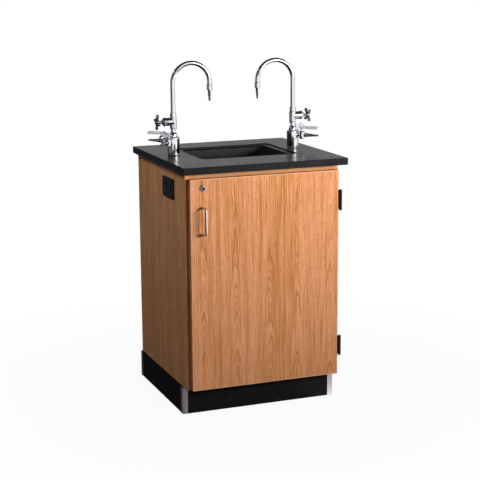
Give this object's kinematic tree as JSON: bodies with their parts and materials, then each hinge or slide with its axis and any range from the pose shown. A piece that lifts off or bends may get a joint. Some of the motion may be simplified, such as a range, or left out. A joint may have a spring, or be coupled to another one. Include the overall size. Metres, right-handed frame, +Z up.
{
  "type": "laboratory workbench",
  "caption": "Free-standing oak laboratory sink cabinet with a black epoxy top, drop-in sink, swivelling goosenecks with gas cocks, a locking door and a side power outlet.",
  "frame": {"origin": "on the floor, at the centre of the bench's outline", "axes": "+Z up, +X to the right of someone facing the door, -Y out of the door's front"},
  "size_m": [0.6268, 0.608, 1.2532],
  "materials": {
    "oak_veneer": "clear-lacquered plain-sliced oak veneer, grain upright",
    "plywood": "sealed plywood",
    "black_base": "black matt sealed base board",
    "satin_metal": "satin anodised angle",
    "black_epoxy": "cast black epoxy resin, semi-gloss",
    "stainless": "brushed stainless steel",
    "drain_plastic": "moulded black plastic",
    "dark_bronze": "dark oil-rubbed bronze",
    "black_plastic": "moulded black plastic",
    "galvanised_steel": "zinc-plated steel",
    "chrome": "polished chrome on brass"
  },
  "bodies": {
    "cabinet": {"left_side_panel": "oak_veneer", "right_side_panel": "oak_veneer", "bottom_panel": "oak_veneer", "front_rail": "oak_veneer", "back_panel": "plywood", "rear_rail": "plywood", "plinth_left": "black_base", "plinth_right": "black_base", "plinth_front": "black_base", "plinth_rear": "black_base", "corner_guard_front_left": "satin_metal", "corner_guard_front_right": "satin_metal", "corner_guard_rear_left": "satin_metal", "corner_guard_rear_right": "satin_metal", "worktop": "black_epoxy", "sink_bowl": "black_epoxy", "sink_outlet": "stainless", "outlet_locknut": "drain_plastic", "hinge_upper_frame_leaf": "dark_bronze", "hinge_upper_pin": "dark_bronze", "hinge_lower_frame_leaf": "dark_bronze", "hinge_lower_pin": "dark_bronze", "socket_plate": "black_plastic", "socket_outlets": "black_plastic", "socket_box": "galvanised_steel", "left_turret_locknut": "galvanised_steel", "right_turret_locknut": "galvanised_steel", "left_turret": "chrome", "left_valve_body": "chrome", "left_bonnet": "chrome", "left_front_cock": "chrome", "left_rear_cock": "chrome", "left_front_hose_end": "chrome", "left_rear_hose_end": "chrome", "right_turret": "chrome", "right_valve_body": "chrome", "right_bonnet": "chrome", "right_front_cock": "chrome", "right_rear_cock": "chrome", "right_front_hose_end": "chrome", "right_rear_hose_end": "chrome"},
    "door_assembly": {"door_panel": "oak_veneer", "door_pull": "chrome", "lock_housing": "chrome", "lock_nut": "galvanised_steel", "hinge_upper_door_leaf": "dark_bronze", "hinge_lower_door_leaf": "dark_bronze"},
    "lock_core": {"lock_plug": "chrome", "lock_cam": "galvanised_steel"},
    "left_spout_arm": {"left_gooseneck": "chrome", "left_spout": "chrome"},
    "left_water_knob": {"left_water_handle": "chrome"},
    "left_front_gas_lever": {"left_front_lever": "chrome"},
    "left_rear_gas_lever": {"left_rear_lever": "chrome"},
    "right_spout_arm": {"right_gooseneck": "chrome", "right_spout": "chrome"},
    "right_water_knob": {"right_water_handle": "chrome"},
    "right_front_gas_lever": {"right_front_lever": "chrome"},
    "right_rear_gas_lever": {"right_rear_lever": "chrome"}
  },
  "joints": [
    {"name": "door_hinge", "type": "hinge", "parent": "cabinet", "child": "door_assembly", "pos_m": [0.2941, -0.27398, 0.486], "axis": [0, 0, 1], "range_deg": [0, 180]},
    {"name": "lock_turn", "type": "hinge", "parent": "door_assembly", "child": "lock_core", "pos_m": [-0.232, -0.26998, 0.8362], "axis": [0, -1, 0], "range_deg": [0, 90]},
    {"name": "left_gooseneck_swivel", "type": "hinge", "parent": "cabinet", "child": "left_spout_arm", "pos_m": [-0.2365, 0.03033, 1.05], "axis": [0, 0, 1], "continuous": true},
    {"name": "left_water_valve", "type": "hinge", "parent": "cabinet", "child": "left_water_knob", "pos_m": [-0.298, 0.03033, 1.0353], "axis": [-1, 0, 0], "range_deg": [0, 540]},
    {"name": "left_front_gas_valve", "type": "hinge", "parent": "cabinet", "child": "left_front_gas_lever", "pos_m": [-0.26316, 0.00367, 0.99], "axis": [0, 0, 1], "range_deg": [0, 90]},
    {"name": "left_rear_gas_valve", "type": "hinge", "parent": "cabinet", "child": "left_rear_gas_lever", "pos_m": [-0.26316, 0.05698, 0.99], "axis": [0, 0, 1], "range_deg": [-90, 0]},
    {"name": "right_gooseneck_swivel", "type": "hinge", "parent": "cabinet", "child": "right_spout_arm", "pos_m": [0.2365, 0.03033, 1.05], "axis": [0, 0, 1], "continuous": true},
    {"name": "right_water_valve", "type": "hinge", "parent": "cabinet", "child": "right_water_knob", "pos_m": [0.298, 0.03033, 1.0353], "axis": [1, 0, 0], "range_deg": [0, 540]},
    {"name": "right_front_gas_valve", "type": "hinge", "parent": "cabinet", "child": "right_front_gas_lever", "pos_m": [0.26316, 0.00367, 0.99], "axis": [0, 0, 1], "range_deg": [-90, 0]},
    {"name": "right_rear_gas_valve", "type": "hinge", "parent": "cabinet", "child": "right_rear_gas_lever", "pos_m": [0.26316, 0.05698, 0.99], "axis": [0, 0, 1], "range_deg": [0, 90]}
  ]
}
